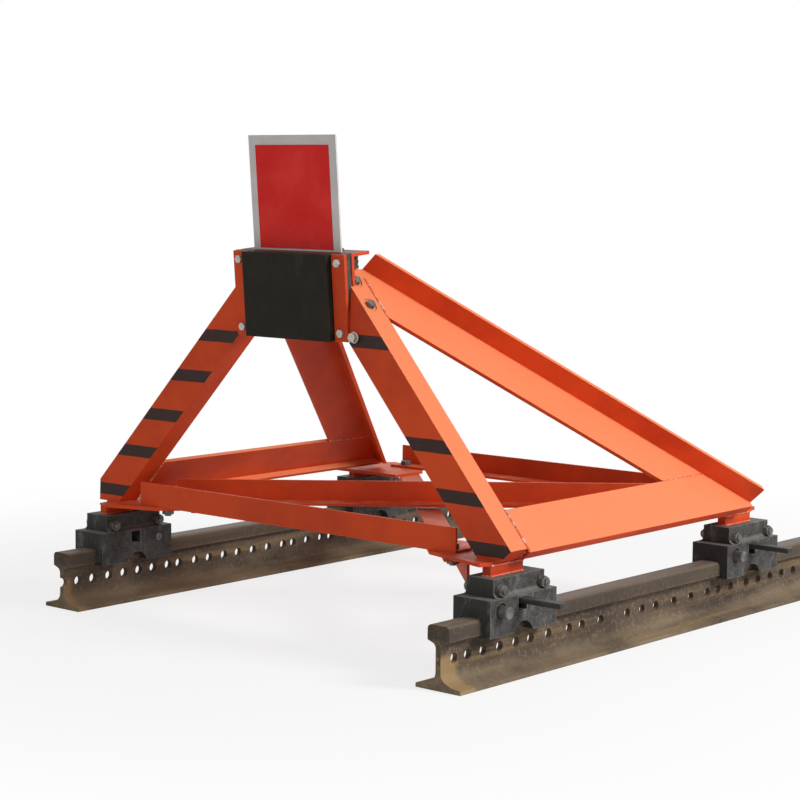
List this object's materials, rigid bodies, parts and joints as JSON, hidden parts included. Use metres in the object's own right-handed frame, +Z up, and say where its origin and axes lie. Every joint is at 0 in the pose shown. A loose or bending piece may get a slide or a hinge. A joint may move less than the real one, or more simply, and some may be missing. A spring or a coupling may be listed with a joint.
{
  "type": "rail buffer stop",
  "caption": "Steel A-frame buffer stop with a rubber-faced striking head and a signal board, clamped on two rails and free to slide along them under load.",
  "frame": {"origin": "on the track centre line, on the plane under the rail feet, level with the front ends of the front clamps", "axes": "+X across the track to the right, +Y rearwards along the rails, away from the striking face, +Z up"},
  "size_m": [1.7935, 2.035, 1.429],
  "materials": {
    "orange_paint": "weathered orange-red gloss paint",
    "rail_steel": "brown rusty rolled steel, worn bright on the head",
    "clamp_iron": "dark grey painted cast iron, dusty",
    "dark_fasteners": "dark oiled steel",
    "zinc_fasteners": "dull zinc plate",
    "key_steel": "black flat bar",
    "pad_rubber": "black rubber, dusty",
    "board_grey": "grey-white painted sheet, dirty",
    "board_red": "faded signal red",
    "shim_steel": "dark layered steel shims"
  },
  "bodies": {
    "track": {"rail_left": "rail_steel", "rail_right": "rail_steel"},
    "buffer_frame": {"backing_plate": "shim_steel", "base_beam_left": "orange_paint", "base_beam_right": "orange_paint", "board_bolts": "zinc_fasteners", "board_bracket": "orange_paint", "board_plate": "board_grey", "cross_bolts_front_left": "dark_fasteners", "cross_bolts_front_right": "dark_fasteners", "cross_bolts_rear_left": "dark_fasteners", "cross_bolts_rear_right": "dark_fasteners", "cross_nuts_front_left": "dark_fasteners", "cross_nuts_front_right": "dark_fasteners", "cross_nuts_rear_left": "dark_fasteners", "cross_nuts_rear_right": "dark_fasteners", "front_cross_beam": "orange_paint", "front_strut_left": "orange_paint", "front_strut_right": "orange_paint", "gusset_bolts": "dark_fasteners", "gusset_front_left": "orange_paint", "gusset_front_right": "orange_paint", "gusset_rear_left": "orange_paint", "gusset_rear_right": "orange_paint", "head_bolts": "zinc_fasteners", "head_channel": "orange_paint", "inner_jaw_front_left": "clamp_iron", "inner_jaw_front_right": "clamp_iron", "inner_jaw_rear_left": "clamp_iron", "inner_jaw_rear_right": "clamp_iron", "jaw_bolts_front_left": "dark_fasteners", "jaw_bolts_front_right": "dark_fasteners", "jaw_bolts_rear_left": "dark_fasteners", "jaw_bolts_rear_right": "dark_fasteners", "lower_diagonal": "orange_paint", "outer_jaw_front_left": "clamp_iron", "outer_jaw_front_right": "clamp_iron", "outer_jaw_rear_left": "clamp_iron", "outer_jaw_rear_right": "clamp_iron", "pad_strip_left": "orange_paint", "pad_strip_right": "orange_paint", "rear_cross_beam": "orange_paint", "rear_strut_left": "orange_paint", "rear_strut_right": "orange_paint", "red_panel": "board_red", "riser_plate_front_left": "orange_paint", "riser_plate_front_right": "orange_paint", "riser_plate_rear_left": "orange_paint", "riser_plate_rear_right": "orange_paint", "rubber_pad": "pad_rubber", "shim_pack_left": "shim_steel", "shim_pack_right": "shim_steel", "spacer_plate": "shim_steel", "strip_bolts": "zinc_fasteners", "strut_bolts": "dark_fasteners", "upper_diagonal": "orange_paint"},
    "front_key": {"key_bar_front": "key_steel"},
    "rear_key": {"key_bar_rear": "key_steel"}
  },
  "joints": [
    {"name": "clamp_slide", "type": "slide", "parent": "track", "child": "buffer_frame", "axis": [0, 1, 0], "range_m": [0, 0.45]},
    {"name": "front_key_slide", "type": "slide", "parent": "buffer_frame", "child": "front_key", "axis": [1, 0, 0], "range_m": [0, 0.06]},
    {"name": "rear_key_slide", "type": "slide", "parent": "buffer_frame", "child": "rear_key", "axis": [1, 0, 0], "range_m": [0, 0.06]}
  ]
}
